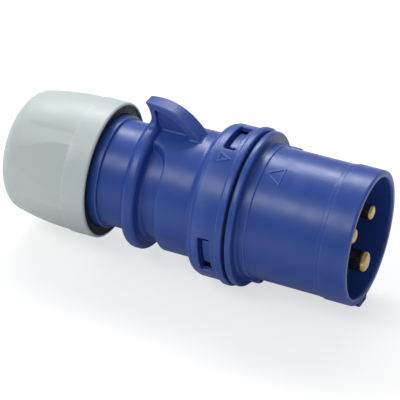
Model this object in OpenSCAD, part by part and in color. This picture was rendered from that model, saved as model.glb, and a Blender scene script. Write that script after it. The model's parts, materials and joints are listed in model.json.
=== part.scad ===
// Industrial pin and sleeve plug, two poles and earth, with a screwed cable gland.
// The plug lies along X: the pins point to +X and the finger hook stands up in +Z.
// The origin is the centre of the circle that the sleeve's mouth makes.
// Angles round the axis are clock angles: 0 is +Y, 90 is +Z (the hook), 270 is below.

/* [Sleeve] */
// Length of the sleeve in front of its flange
sleeve_len = 36.6; // [34:0.1:44]
// Outer diameter of the sleeve behind its front band
sleeve_d = 42.6; // [41:0.1:46]
// Outer diameter of the front band
band_d = 43.5; // [42:0.1:47]
// Length of the front band
band_len = 8.8; // [5:0.1:14]
// Bore of the sleeve
sleeve_bore_d = 38.9; // [37:0.1:40.5]
// Length of the low collar in front of the flange
collar_len = 3.1; // [2:0.1:5]
// Height of the low collar above the sleeve
collar_h = 0.4; // [0.2:0.05:1]
// Width of the key rib under the sleeve
key_w = 6; // [4:0.1:8]
// Height of the key rib above the front band
key_h = 2.5; // [1.5:0.1:3.5]
// Length of the key rib
key_len = 26; // [12:0.5:30]
// Diameter of the sleeve's flange
front_flange_d = 50.4; // [49:0.1:56]
// Thickness of the sleeve's flange
front_flange_t = 2.1; // [1.5:0.1:4]

/* [Twist lock] */
// Outer diameter of the spigot behind the flange
spigot_d = 43.2; // [42:0.1:44]
// Bore of the spigot
spigot_bore_d = 38.9; // [37:0.1:40]
// Length of the spigot behind the flange
spigot_len = 11.2; // [8:0.1:12]
// Height of the locking lugs above the spigot
lug_h = 1.5; // [1:0.1:1.8]
// Length of a locking lug along the axis
lug_len = 4.3; // [3:0.1:5]
// Angle that one locking lug spans
lug_span = 24; // [16:1:28]
// Clock angles at which the locking lugs sit
lug_at = [90, 195, 345];
// Turn from the locked place to the entry slots
twist_angle = 28; // [26:1:32]
// Gap between the two flanges, which the gasket fills
flange_gap = 0.9; // [0.6:0.1:1.6]
// Running gap between the spigot and its ring
lock_gap = 0.3; // [0.2:0.05:0.5]
// Gap between the spigot and the flange gasket
gasket_gap = 0.5; // [0.2:0.05:0.8]
// Radial width of the flange gasket
gasket_w = 1.5; // [1:0.1:2]

/* [Rear housing] */
// Diameter of the ring that takes the spigot
ring_d = 49.8; // [49:0.1:56]
// Length of the ring and its lip
ring_len = 10.7; // [9:0.1:14]
// Diameter of the lip at the ring's front edge
lip_d = 51.6; // [50:0.1:58]
// Length of that lip
lip_len = 2.4; // [1.5:0.1:4]
// Thickness of the ring's front wall, ahead of the lug track
track_wall = 2.7; // [2:0.1:3.4]
// Length of the rounded shoulder behind the ring
shoulder_len = 5.2; // [3:0.1:8]
// Diameter of the grip tube behind the shoulder
grip_d = 41; // [39:0.1:43]
// Length of the grip tube
grip_len = 9.5; // [8:0.1:14]
// Width of the finger groove
groove_w = 6.5; // [5:0.1:10]
// Diameter of the neck at the bottom of the finger groove
neck_d = 35.4; // [34.6:0.1:37]
// Radius of the groove's rounded corners beside the hook
groove_corner_r = 7.4; // [5:0.1:8]
// Half width of the bridge that carries the hook over the groove
bridge_half_w = 7.4; // [6:0.1:9]
// Diameter of the rounded disc behind the groove
disc_d = 44.2; // [42:0.1:47]
// Thickness of that disc
disc_t = 5; // [4:0.1:8]
// Diameter of the tail tube between the disc and the thread
tail_d = 35; // [34.6:0.1:36]
// Length of the tail tube
tail_len = 9.5; // [6:0.1:12]
// Bore behind the ring, round the terminals
chamber_d = 36.4; // [36:0.1:37]
// Bore of the neck, the tail and the threaded end
neck_bore_d = 30.8; // [28:0.1:31.5]

/* [Hook] */
// Width of the hook's strap
hook_w = 6.2; // [5:0.1:9]
// Radius of the strap's outer arc
hook_r = 20.65; // [18:0.05:24]
// Height of the centre of that arc above the plug's axis
hook_rise = 9; // [6:0.1:12]
// Thickness of the strap
strap_t = 2.1; // [1.5:0.1:3]
// Thickness of the web inside the hook
web_t = 2.4; // [1.6:0.1:4]
// Radius of the finger hollow at the hook's back
hollow_r = 9.4; // [7:0.1:12]
// Distance from the disc's back to the centre of that hollow
hollow_back = 7.5; // [5:0.1:9]
// Height of the hollow's centre above the centre of the strap's arc
hollow_rise = 13.9; // [11:0.1:16]

/* [Thread and gland nut] */
// Crest diameter of the thread's leading ring
thread_d = 37.2; // [36.6:0.1:38]
// Core diameter of the thread, along which the ridges run
thread_core_d = 35.4; // [34.8:0.1:36]
// Length of the thread's leading ring
thread_lead = 6; // [3:0.1:8]
// Length of the whole threaded end
thread_len = 18; // [16:0.1:24]
// Radial play between the thread's crest and the nut's bore
thread_gap = 0.3; // [0.2:0.05:0.4]
// Distance from the tail's end to the nut's mouth when tight
nut_back = 2.3; // [1.5:0.1:4]
// Length of the gland nut
nut_len = 33.9; // [33:0.1:38]
// Diameter of the nut's front band
nut_d = 45.1; // [44.6:0.1:49]
// Length of the nut's front band
nut_band_len = 8.3; // [6:0.1:12]
// Step from the front band down to the nut's dome
nut_step = 0.35; // [0.2:0.05:0.6]
// Diameter of the cable hole at the back of the nut
cable_hole_d = 18; // [14:0.1:20]
// Length of the cable hole
cable_hole_len = 3.2; // [2.6:0.1:3.6]
// Clock angles at the middle of the nut's two grip pads
pad_at = [157.5, 337.5];
// Angle that a grip pad's recess spans
pad_span = 69; // [50:1:80]
// Angle that the flat inside the recess spans
flat_span = 45; // [30:1:48]
// Depth of the recess at its front step
pad_depth = 0.5; // [0.3:0.05:0.8]
// Length of the recess, from the step to where it runs out
pad_len = 17.5; // [12:0.5:20]

/* [Gland parts] */
// Length of the seal ring in the nut's mouth
mouth_ring_len = 2.6; // [1.5:0.1:4]
// Wall of the nut around that seal ring
mouth_wall = 0.95; // [0.8:0.05:1.2]
// Diameter of the slip ring at the back of the nut
slip_d = 27.2; // [25:0.1:28]
// Thickness of the slip ring
slip_t = 2.4; // [1.5:0.1:3.5]
// Number of fingers on the clamp cage
fingers = 8; // [6:1:12]
// Width of the slots between the fingers
finger_slot = 1.4; // [1:0.1:2]
// Length of the fingers behind the housing's end
finger_len = 12; // [10:0.1:12.5]
// Bore of the clamp cage
cage_bore_d = 22.4; // [20:0.1:23]
// Length of the cage's sleeve inside the housing
cage_sleeve_len = 7; // [5:0.1:10]
// Bore of the cable seal
seal_bore_d = 13; // [8:0.1:16]
// Length of the cable seal
seal_len = 16; // [12:0.1:17]
// Length of the seal that lies ahead of the housing's end
seal_ahead = 6; // [5:0.1:8]

/* [Contacts] */
// Radius of the circle on which the three pins stand
pin_circle_r = 8.93; // [8.5:0.01:9.5]
// Diameter of the line and neutral pins
live_pin_d = 5; // [4:0.1:6]
// Diameter of the earth pin
earth_pin_d = 7; // [6:0.1:8]
// Distance from the sleeve's mouth back to the line and neutral tips
live_recess = 2.3; // [1:0.1:6]
// Distance from the sleeve's mouth back to the earth tip
earth_recess = 0.3; // [0.2:0.1:4]
// Clock angles of the line, neutral and earth pins
pin_at = [30, 150, 270];
// Extra radius of a pin's collar over its pin
collar_step = 2.1; // [1.5:0.1:2.5]
// Extra radius of a pin's terminal barrel over its pin
barrel_step = 1.7; // [1.4:0.1:2]
// Bore of the line and neutral barrels, for the wire
live_wire_d = 4.4; // [4:0.1:5]
// Bore of the earth barrel, for the wire
earth_wire_d = 5.4; // [4.6:0.1:6.4]
// Thickness of a pin's collar, which the carrier traps
collar_t = 3.9; // [3:0.1:5]
// Length of a terminal barrel behind the carrier's cap
barrel_len = 8.5; // [7:0.1:9]
// Diameter of a terminal screw
screw_d = 4; // [3:0.1:4.4]
// Diameter of a terminal screw's head
screw_head_d = 6; // [5:0.1:7]
// Height of a terminal screw's head
screw_head_h = 1.4; // [1.2:0.1:2.2]
// Travel of a terminal's clamp plate
clamp_travel = 1.2; // [1:0.1:1.8]
// Thickness of a clamp plate
clamp_t = 0.8; // [0.6:0.1:1]
// Length of a clamp plate
clamp_len = 6; // [4:0.1:6.5]

/* [Contact carrier] */
// Depth of the carrier's face behind the sleeve's mouth
face_depth = 37; // [34.5:0.1:38]
// Thickness of the carrier's front disc
carrier_disc_t = 6; // [4:0.1:7]
// Thickness of the carrier's rear block
carrier_block_t = 6.9; // [5:0.1:8]
// Diameter of the carrier's rear block and cap
block_d = 35; // [34:0.1:35.6]
// Thickness of the cap that traps the pins
cap_t = 3; // [2:0.1:4]
// Thickness of the partition walls between the terminals
partition_t = 1.6; // [1.2:0.1:2]
// Radius of the circle on which the cap's screws sit
cap_screw_r = 13; // [12:0.1:13.5]
// Diameter of the cap's screws
cap_screw_d = 3; // [2:0.1:3.4]

/* [Fits] */
// Radial play of a pin or barrel in its hole
pin_gap = 0.05; // [0.03:0.01:0.1]
// Play between a seated piece and its seat
seat_gap = 0.1; // [0.05:0.01:0.15]
// Radius of small moulded edges
edge_r = 0.5; // [0.3:0.05:0.7]

/* [Hidden] */
$fn = 96;

shell_blue = [0.17, 0.30, 0.66];
nut_grey = [0.78, 0.83, 0.82];
rubber_black = [0.06, 0.06, 0.07];
cage_grey = [0.16, 0.17, 0.18];
carrier_navy = [0.05, 0.09, 0.30];
brass = [0.83, 0.69, 0.36];
steel = [0.72, 0.73, 0.75];

// Radii of the front part
sleeve_r = sleeve_d / 2;
band_r = band_d / 2;
bore_r = sleeve_bore_d / 2;
front_flange_r = front_flange_d / 2;
spigot_r = spigot_d / 2;
spigot_bore_r = spigot_bore_d / 2;
lug_r = spigot_r + lug_h;
ledge_w = 1.2;
ledge_t = 1.4;
band_ramp = 1.6;

// Places along the axis, from the mouth backwards
flange_x = -sleeve_len;
flange_back_x = flange_x - front_flange_t;
spigot_end_x = flange_back_x - spigot_len;
housing_x = flange_back_x - flange_gap;
lip_end_x = housing_x - lip_len;
ring_end_x = housing_x - ring_len;
shoulder_end_x = ring_end_x - shoulder_len;
grip_end_x = shoulder_end_x - grip_len;
disc_x = grip_end_x - groove_w;
disc_end_x = disc_x - disc_t;
tail_end_x = disc_end_x - tail_len;
thread_end_x = tail_end_x - thread_len;
lead_end_x = tail_end_x - thread_lead;

// Track of the locking lugs inside the ring
track_x = housing_x - track_wall;
track_r = lug_r + lock_gap;
ring_bore_r = spigot_r + lock_gap;
lug_x = track_x - lock_gap;
lug_back_gap = 0.8;
track_end_x = lug_x - lug_len - lug_back_gap;
window_x = lug_x - 1;
window_end_x = track_end_x;
window_slack = 10;
window_span = lug_span + window_slack;
window_shift = 1;
slot_slack = 4;
ring_floor_x = spigot_end_x - lock_gap;

// Radii of the housing
ring_r = ring_d / 2;
lip_r = lip_d / 2;
grip_r = grip_d / 2;
neck_r = neck_d / 2;
disc_r = disc_d / 2;
tail_r = tail_d / 2;
chamber_r = chamber_d / 2;
neck_bore_r = neck_bore_d / 2;
thread_r = thread_d / 2;
core_r = thread_core_d / 2;
chamber_wall = 2.5;
chamber_end_x = grip_end_x + chamber_wall;
ring_line = 0.25;

// Hook: the arc's centre, the tip's end and the rim round the pocket
hook_x = disc_end_x + 2;
hook_tip_x = hook_x - 2.8;
hook_rim = 1.7;

// Gland nut, from its mouth backwards
nut_r = nut_d / 2;
nut_x = tail_end_x - nut_back;
band_end_x = nut_x - nut_band_len;
nut_end_x = nut_x - nut_len;
nut_bore_r = thread_r + thread_gap;
cable_hole_r = cable_hole_d / 2;
dome_r = nut_r - nut_step;
dome_len = nut_len - nut_band_len;
nut_floor_x = nut_end_x + cable_hole_len;
mouth_ring_r = nut_r - mouth_wall;
slip_r = slip_d / 2;
slip_x = nut_floor_x + lock_gap + slip_t;
slip_pocket_r = slip_r + lock_gap + 0.1;
cone_x = thread_end_x - 2;
cone_r = nut_bore_r - 1.3;

// Clamp cage and seal
cage_gap = 0.4;
finger_end_x = thread_end_x - finger_len;
cage_r = cage_bore_d / 2;
cage_flange_t = 2;
seal_start_x = thread_end_x + seal_ahead;

// Contact carrier
face_x = -face_depth;
disc_back_x = face_x - carrier_disc_t;
block_end_x = disc_back_x - carrier_block_t;
cap_end_x = block_end_x - cap_t;
carrier_r = spigot_bore_r - seat_gap;
block_r = block_d / 2;
earth_trim = 0.3;
root_step = 0.3;
root_out = 0.5;
barrel_end_x = cap_end_x - barrel_len;
terminal_x = cap_end_x - barrel_len / 2;
clamp_gap = 0.1;
cap_screw_head_d = 2 * cap_screw_d - 0.4;
cap_screw_head_h = 1.5;
cap_screw_depth = 5;
cap_screw_at = [90, 210, 330];
partition_back = 2.2;
partition_past = 0.6;

live_pin_r = live_pin_d / 2;
earth_pin_r = earth_pin_d / 2;

// Profile of the nut's dome: a taper, then an elliptical rounding down to the cable hole's rim.
taper_steps = 8;
rounding_steps = 10;
dome_taper = 3.6;
dome_rim_r = cable_hole_r + 1;
rounding_len = 5.8;
rounding_fall = dome_r - dome_taper - dome_rim_r;
taper_len = dome_len - rounding_len;

// Radius of the dome at a distance behind the band.
function rounding_at(u) = rounding_fall * (1 - sqrt(1 - u * u));
function dome_at(d) =
    dome_r
    - dome_taper * pow(d / dome_len, 2)
    - rounding_at(min(1, max(0, (d - taper_len) / rounding_len)));

// A solid of revolution about X from a list of [x, r] points.
module turned(profile) {
    rotate([0, 90, 0])
        rotate_extrude()
            polygon([for (p = profile) [p[1], p[0]]]);
}

// The part of such a solid between two clock angles.
module turned_arc(profile, from, span) {
    rotate([0, 90, 0])
        rotate([0, 0, from + 90])
            rotate_extrude(angle = span)
                polygon([for (p = profile) [p[1], p[0]]]);
}

// A ring between two places and two radii.
module ring(x0, x1, r_out, r_in) {
    turned([[x0, r_in], [x1, r_in], [x1, r_out], [x0, r_out]]);
}

// Turns what is drawn above the axis to a clock angle.
module clock(angle) {
    rotate([angle - 90, 0, 0])
        children();
}

// A round bar along X.
module bar(x0, x1, r) {
    translate([min(x0, x1), 0, 0])
        rotate([0, 90, 0])
            cylinder(h = abs(x1 - x0), r = r);
}

// Points of a quarter arc about [x, r] from angle a0 to a1, in the profile's plane.
function arc_points(x, r, radius, a0, a1, steps = 6) =
    [for (i = [0:steps]) let (a = a0 + (a1 - a0) * i / steps) [x + radius * cos(a), r + radius * sin(a)]];

// A raised triangle outline that points along X, laid round a cylinder of radius r.
module triangle_mark(tip_x, base_x, half_w, r, angle) {
    inset = mark_line * sign(base_x - tip_x);
    intersection() {
        ring(min(tip_x, base_x) - 1, max(tip_x, base_x) + 1, r + mark_h, r - mark_h);
        clock(angle)
            linear_extrude(2 * r)
                difference() {
                    polygon([[tip_x, 0], [base_x, half_w], [base_x, -half_w]]);
                    polygon([
                        [tip_x + 2.2 * inset, 0],
                        [base_x - inset, half_w - 1.7 * mark_line],
                        [base_x - inset, -half_w + 1.7 * mark_line]
                    ]);
                }
    }
}

// Alignment marks: clock angle, line width and height, then gap, length and half width of each
mark_at = 114.5;
mark_line = 0.5;
mark_h = 0.2;
front_mark_gap = 3.7;
front_mark_len = 6;
front_mark_half_w = 3.6;
ring_mark_gap = 1.6;
ring_mark_len = 4.1;
ring_mark_half_w = 2.1;
ring_mark_turn = 1.5;

// Clock angle, length and height of each small stop beside the flange
stops = [[246, 4.8, 1.6], [50, 7.3, 0.5]];

// Sleeve, flange, spigot and locking lugs: one moulding.
module front_shroud() {
    rim_r = 0.8;
    color(shell_blue)
        difference() {
            union() {
                turned(concat(
                    [[face_x + ledge_t, bore_r], [-rim_r, bore_r]],
                    arc_points(-rim_r, bore_r + rim_r, rim_r, -90, 0),
                    arc_points(-rim_r, band_r - rim_r, rim_r, 0, 90),
                    [[-band_len, band_r - 0.1], [-band_len - 0.2, sleeve_r + 0.15]],
                    [[-band_len - band_ramp, sleeve_r + 0.1], [-band_len - band_ramp - 0.2, sleeve_r]],
                    [[flange_x + collar_len + 0.3, sleeve_r], [flange_x + collar_len, sleeve_r + collar_h]],
                    [[flange_x + 0.6, sleeve_r + collar_h], [flange_x, sleeve_r + collar_h + 0.6]],
                    arc_points(flange_x - edge_r, front_flange_r - edge_r, edge_r, 0, 90),
                    arc_points(flange_back_x + edge_r, front_flange_r - edge_r, edge_r, 90, 180),
                    [[flange_back_x, spigot_r], [spigot_end_x, spigot_r]],
                    [[spigot_end_x, spigot_bore_r], [face_x, spigot_bore_r]],
                    [[face_x, bore_r - ledge_w], [face_x + ledge_t, bore_r - ledge_w]]
                ));
                for (a = lug_at)
                    turned_arc(
                        [
                            [lug_x - lug_len, spigot_r - edge_r],
                            [lug_x, spigot_r - edge_r],
                            [lug_x, lug_r],
                            [lug_x - lug_len, lug_r]
                        ],
                        a - lug_span / 2,
                        lug_span
                    );
                key_rib();
                for (s = stops)
                    side_stop(s[0], s[1], s[2]);
                triangle_mark(
                    flange_x + front_mark_gap,
                    flange_x + front_mark_gap + front_mark_len,
                    front_mark_half_w,
                    sleeve_r,
                    mark_at
                );
            }
            key_slot();
        }
}

// Key rib under the sleeve, which finds the keyway of the mating connector.
module key_rib() {
    rib_top = band_r + key_h;
    overlap = 1;
    clock(270)
        translate([0, 0, band_r - overlap])
            rotate([0, 0, 180])
                linear_extrude(rib_top - band_r + overlap)
                    translate([edge_r, -key_w / 2])
                        union() {
                            translate([edge_r, 0])
                                square([key_len - edge_r - key_w / 2, key_w]);
                            translate([0, edge_r])
                                square([key_len - key_w / 2, key_w - 2 * edge_r]);
                            for (y = [edge_r, key_w - edge_r])
                                translate([edge_r, y])
                                    circle(r = edge_r);
                            translate([key_len - key_w / 2, key_w / 2])
                                circle(d = key_w);
                        }
}

// Blind slot that lightens the front end of the key rib.
module key_slot() {
    slot_w = key_w / 4;
    slot_h = key_h * 0.6;
    slot_len = 5;
    clock(270)
        translate([-slot_len, -slot_w / 2, band_r + key_h * 0.1])
            cube([slot_len + 1, slot_w, slot_h]);
}

// Small stop beside the flange.
module side_stop(angle, length, height) {
    stop_span = 12;
    turned_arc(
        [
            [flange_x - edge_r, sleeve_r - edge_r],
            [flange_x + length, sleeve_r - edge_r],
            [flange_x + length, sleeve_r + height * 0.6],
            [flange_x + length - height * 0.6, sleeve_r + height],
            [flange_x - edge_r, sleeve_r + height]
        ],
        angle - stop_span / 2,
        stop_span
    );
}

// Insulating block that holds the three pins.
module contact_carrier() {
    color(carrier_navy)
        difference() {
            union() {
                ring(disc_back_x, face_x, carrier_r, 0);
                ring(block_end_x, disc_back_x + edge_r, block_r, 0);
            }
            for (i = [0:2])
                at_pin(i) {
                    bar(face_x + 1, block_end_x - 1, root_r(i) + pin_gap);
                    bar(block_end_x - 1, block_end_x + collar_t + seat_gap, collar_r(i) + pin_gap);
                }
            for (a = cap_screw_at)
                clock(a)
                    translate([0, 0, cap_screw_r])
                        bar(block_end_x - 1, block_end_x + cap_screw_depth, cap_screw_d / 2 + pin_gap);
        }
}

// Cap screwed to the carrier's back, with walls that part the terminals.
module carrier_cap() {
    wall_r = block_r - partition_back;
    wall_end_x = barrel_end_x - partition_past;
    color(carrier_navy)
        difference() {
            union() {
                ring(cap_end_x, block_end_x, block_r, 0);
                for (a = cap_screw_at)
                    clock(a)
                        translate([wall_end_x, -partition_t / 2, 0])
                            cube([cap_end_x - wall_end_x + edge_r, partition_t, wall_r]);
            }
            for (i = [0:2])
                at_pin(i)
                    bar(block_end_x + 1, cap_end_x - 1, barrel_r(i) + pin_gap);
            for (a = cap_screw_at)
                clock(a)
                    translate([0, 0, cap_screw_r]) {
                        bar(block_end_x + 1, cap_end_x - 1, cap_screw_d / 2 + pin_gap);
                        bar(cap_end_x, wall_end_x - 1, cap_screw_head_d / 2 + lock_gap);
                    }
        }
}

// Three screws that hold the cap to the carrier.
module carrier_screws() {
    slot_w = 0.7;
    slot_h = 0.8;
    color(steel)
        for (a = cap_screw_at)
            clock(a)
                translate([0, 0, cap_screw_r])
                    difference() {
                        union() {
                            bar(block_end_x + cap_screw_depth - edge_r, cap_end_x, cap_screw_d / 2);
                            bar(cap_end_x, cap_end_x - cap_screw_head_h, cap_screw_head_d / 2);
                        }
                        translate([cap_end_x - cap_screw_head_h - 1, -slot_w / 2, -cap_screw_head_d])
                            cube([slot_h + 1, slot_w, 2 * cap_screw_head_d]);
                    }
}

// Sizes of pin number i: 0 is line, 1 is neutral, 2 is earth.
function pin_r(i) = i == 2 ? earth_pin_r : live_pin_r;
function pin_tip_x(i) = i == 2 ? -earth_recess : -live_recess;
function root_r(i) = pin_r(i) + root_step;
function collar_r(i) = pin_r(i) + collar_step - (i == 2 ? earth_trim : 0);
function barrel_r(i) = pin_r(i) + barrel_step - (i == 2 ? earth_trim : 0);
function wire_r(i) = (i == 2 ? earth_wire_d : live_wire_d) / 2;

// Moves what is drawn on the axis to pin number i, with its outward side up.
module at_pin(i) {
    clock(pin_at[i])
        translate([0, 0, pin_circle_r])
            children();
}

// Contact pin with its collar and terminal barrel: one turned piece.
module contact_pin(i) {
    tip_r = pin_r(i) * 0.45;
    color(brass)
        at_pin(i)
            difference() {
                union() {
                    turned(concat(
                        [[barrel_end_x + 1, 0], [pin_tip_x(i), 0]],
                        arc_points(pin_tip_x(i) - tip_r, pin_r(i) - tip_r, tip_r, 0, 90),
                        [[barrel_end_x + 1, pin_r(i)]]
                    ));
                    bar(block_end_x, face_x + root_out, root_r(i));
                    bar(block_end_x, block_end_x + collar_t, collar_r(i));
                    bar(block_end_x + edge_r, barrel_end_x, barrel_r(i));
                }
                bar(barrel_end_x - 1, cap_end_x + 1, wire_r(i));
                translate([terminal_x, 0, 0])
                    cylinder(h = 2 * barrel_r(i), r = screw_d / 2 + pin_gap);
            }
}

// Half width of the chord that a clamp plate fills in its wire bore.
function clamp_top(i) = wire_r(i) - 0.35;
function clamp_half_w(i) = sqrt(pow(wire_r(i), 2) - pow(clamp_top(i), 2)) - clamp_gap;

// Plate that a terminal screw presses down on the wire.
module clamp_plate(i) {
    color(brass)
        at_pin(i)
            translate([terminal_x - clamp_len / 2, -clamp_half_w(i), clamp_top(i) - clamp_t])
                cube([clamp_len, 2 * clamp_half_w(i), clamp_t]);
}

// Slotted screw of a terminal, standing out from the plug's axis.
module terminal_screw(i) {
    head_z = barrel_r(i) + clamp_travel + 0.2;
    slot_w = 0.9;
    slot_h = screw_head_h / 2;
    color(steel)
        at_pin(i)
            translate([terminal_x, 0, 0])
                difference() {
                    union() {
                        translate([0, 0, clamp_top(i) + 0.05])
                            cylinder(h = head_z - clamp_top(i), r = screw_d / 2);
                        translate([0, 0, head_z])
                            cylinder(h = screw_head_h, d = screw_head_d);
                    }
                    translate([-slot_w / 2, -screw_head_d, head_z + screw_head_h - slot_h])
                        cube([slot_w, 2 * screw_head_d, screw_head_h]);
                }
}

// Rubber ring between the two flanges.
module flange_gasket() {
    gasket_r = spigot_r + gasket_gap;
    color(rubber_black)
        ring(housing_x, housing_x + flange_gap - seat_gap, gasket_r + gasket_w, gasket_r);
}

// Ring, grip, hook, disc and threaded end: one moulding.
module rear_housing() {
    color(shell_blue)
        difference() {
            union() {
                turned(concat(
                    [[housing_x, ring_bore_r]],
                    arc_points(housing_x - edge_r, lip_r - edge_r, edge_r, 0, 90),
                    arc_points(lip_end_x + edge_r, lip_r - edge_r, edge_r, 90, 180),
                    [[lip_end_x, ring_r], [ring_end_x + 0.55, ring_r], [ring_end_x + 0.45, ring_r - ring_line]],
                    shoulder_points(),
                    arc_points(grip_end_x + 1.2, grip_r - 1.2, 1.2, 90, 180),
                    [[grip_end_x, neck_r], [disc_x, neck_r]],
                    arc_points(disc_x - 1, disc_r - 1, 1, 0, 90),
                    arc_points(disc_end_x + 2.2, disc_r - 2.2, 2.2, 90, 180),
                    [[disc_end_x, tail_r], [tail_end_x, tail_r]],
                    [[tail_end_x, thread_r - 0.3], [tail_end_x - 0.3, thread_r]],
                    [[lead_end_x + 0.6, thread_r], [lead_end_x, core_r], [thread_end_x, core_r]],
                    [[thread_end_x, neck_bore_r], [chamber_end_x, neck_bore_r]],
                    [[chamber_end_x, chamber_r], [ring_floor_x, chamber_r]],
                    [[ring_floor_x, ring_bore_r], [track_end_x, ring_bore_r]],
                    [[track_end_x, track_r], [track_x, track_r], [track_x, ring_bore_r]]
                ));
                hook_bridge();
                hook();
                triangle_mark(
                    lip_end_x - ring_mark_gap,
                    lip_end_x - ring_mark_gap - ring_mark_len,
                    ring_mark_half_w,
                    ring_r,
                    mark_at + ring_mark_turn
                );
            }
            for (a = lug_at)
                ring_window(a + window_shift);
            for (a = lug_at)
                turned_arc(
                    [
                        [track_x - 0.1, spigot_r],
                        [housing_x + 1, spigot_r],
                        [housing_x + 1, track_r],
                        [track_x - 0.1, track_r]
                    ],
                    a - twist_angle - (lug_span + slot_slack) / 2,
                    lug_span + slot_slack
                );
        }
}

// The rounded shoulder: a convex arc off the ring, then a concave one down to the grip.
function shoulder_points() =
    let (
        drop = ring_r - ring_line - grip_r,
        convex_r = min(2.2, drop * 0.55),
        concave_r = min(drop - convex_r, shoulder_len - convex_r)
    )
    concat(
        arc_points(ring_end_x + 0.3, ring_r - ring_line - convex_r, convex_r, 90, 180),
        arc_points(
            ring_end_x + 0.3 - convex_r - concave_r, grip_r + concave_r, concave_r, 0, -90
        )
    );

// Slot through the ring over the lug track, which shows a locking lug.
module ring_window(angle) {
    overlap = 0.6;
    turned_arc(
        [
            [window_end_x, track_r - overlap],
            [window_x, track_r - overlap],
            [window_x, lip_r],
            [window_end_x, lip_r]
        ],
        angle - window_span / 2,
        window_span
    );
}

// Bridge that fills the finger groove under the hook, with rounded inner corners.
module hook_bridge() {
    corner_y = bridge_half_w + groove_corner_r;
    overlap = 0.5;
    intersection() {
        ring(disc_x - overlap, grip_end_x + 2, grip_r, neck_r - overlap);
        linear_extrude(lip_r)
            difference() {
                translate([disc_x - overlap, -corner_y])
                    square([groove_w + overlap + 2, 2 * corner_y]);
                for (side = [-1, 1])
                    translate([grip_end_x - groove_corner_r, side * corner_y]) {
                        circle(r = groove_corner_r);
                        translate([-groove_corner_r, -groove_corner_r])
                            square([groove_corner_r, 2 * groove_corner_r]);
                    }
            }
    }
}

// Finger hook: a curved strap with a thinner web that stands back on both sides.
module hook() {
    sink = 1;
    pocket_sink = 0.6;
    difference() {
        hook_slab(hook_r, neck_r - sink, 0);
        for (side = [-1, 1])
            translate([0, side * (hook_w + web_t) / 2, 0])
                hook_slab(hook_r - strap_t, grip_r - pocket_sink, hook_rim);
    }
}

// The hook's outline as a plate as wide as the strap; a rim moves its back edge forward.
module hook_slab(arc_r, foot_z, rim) {
    translate([0, hook_w / 2, 0])
        rotate([90, 0, 0])
            linear_extrude(hook_w)
                difference() {
                    intersection() {
                        translate([hook_x, hook_rise])
                            circle(r = arc_r);
                        translate([hook_tip_x + 1.6 * rim, foot_z])
                            square([2 * hook_r, 2 * hook_r]);
                    }
                    translate([disc_end_x - hollow_back + rim, hook_rise + hollow_rise])
                        circle(r = hollow_r);
                }
}

// Black plastic cage: a seat ring on the housing's end, a sleeve inside it and fingers behind.
module clamp_cage() {
    color(cage_grey)
        difference() {
            turned([
                [thread_end_x + cage_sleeve_len, cage_r],
                [thread_end_x + cage_sleeve_len, neck_bore_r - seat_gap],
                [thread_end_x, neck_bore_r - seat_gap],
                [thread_end_x, core_r - 0.2],
                [cone_x, core_r - 0.2],
                [cone_x, cone_r - cage_gap],
                [finger_end_x, slip_r - 0.4],
                [finger_end_x, cage_r]
            ]);
            for (i = [0:fingers - 1])
                clock(i * 360 / fingers)
                    translate([finger_end_x - 1, -finger_slot / 2, 0])
                        cube([finger_len - cage_flange_t - 1, finger_slot, nut_r]);
        }
}

// Rubber sleeve that the fingers press on the cable.
module cable_seal() {
    lip = 0.8;
    seal_r = cage_r - seat_gap;
    color(rubber_black)
        turned([
            [seal_start_x, seal_bore_d / 2 + lip],
            [seal_start_x, seal_r],
            [seal_start_x - seal_len, seal_r],
            [seal_start_x - seal_len, seal_bore_d / 2 + lip],
            [seal_start_x - seal_len + lip, seal_bore_d / 2],
            [seal_start_x - lip, seal_bore_d / 2]
        ]);
}

// Ring that lets the nut turn against the cage without turning it.
module gland_slip_ring() {
    color(rubber_black)
        ring(slip_x - slip_t, slip_x, slip_r, cable_hole_r + 0.3);
}

// Domed nut with two opposed grip pads.
module gland_nut() {
    color(nut_grey)
        difference() {
            turned(concat(
                [[nut_x, mouth_ring_r], [nut_x, nut_r - 0.3], [nut_x - 0.3, nut_r]],
                [[band_end_x + 0.3, nut_r], [band_end_x, dome_r]],
                [for (i = [0:taper_steps])
                    let (d = taper_len * i / taper_steps)
                    [band_end_x - d, dome_at(d)]],
                [for (i = [1:rounding_steps])
                    let (d = taper_len + rounding_len * sin(90 * i / rounding_steps))
                    [band_end_x - d, dome_at(d)]],
                [[nut_end_x, cable_hole_r], [nut_floor_x, cable_hole_r]],
                [[nut_floor_x, slip_pocket_r], [slip_x + 0.3, slip_pocket_r]],
                [[cone_x, cone_r], [cone_x + 0.6, nut_bore_r]],
                [[nut_x - mouth_ring_len - edge_r, nut_bore_r]],
                [[nut_x - mouth_ring_len - edge_r, mouth_ring_r]]
            ));
            for (a = pad_at)
                pad_cut(a);
        }
}

// Recess of one grip pad: a shallow sector that runs out to the back, and a flat within it.
module pad_cut(angle) {
    floor_r = dome_r - pad_depth;
    steps = 6;
    flat_z = floor_r * cos(flat_span / 2);
    flat_half = floor_r * sin(flat_span / 2);
    past = 4;
    turned_arc(
        concat(
            [for (i = [0:steps])
                let (t = i / steps)
                [band_end_x - t * pad_len, dome_at(t * pad_len) - pad_depth * (1 - pow(t, 3))]],
            [[band_end_x - pad_len, nut_r + past], [band_end_x, nut_r + past]]
        ),
        angle - pad_span / 2,
        pad_span
    );
    clock(angle)
        translate([band_end_x - pad_len - past, -flat_half, flat_z])
            cube([pad_len + past, 2 * flat_half, nut_r]);
}

// Black seal ring inside the nut's mouth.
module nut_mouth_ring() {
    recess = 0.5;
    color(rubber_black)
        ring(nut_x - recess - mouth_ring_len, nut_x - recess, mouth_ring_r - 0.02, nut_bore_r);
}

module line_pin() {
    contact_pin(0);
}

module neutral_pin() {
    contact_pin(1);
}

module earth_pin() {
    contact_pin(2);
}

module line_clamp_plate() {
    clamp_plate(0);
}

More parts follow.
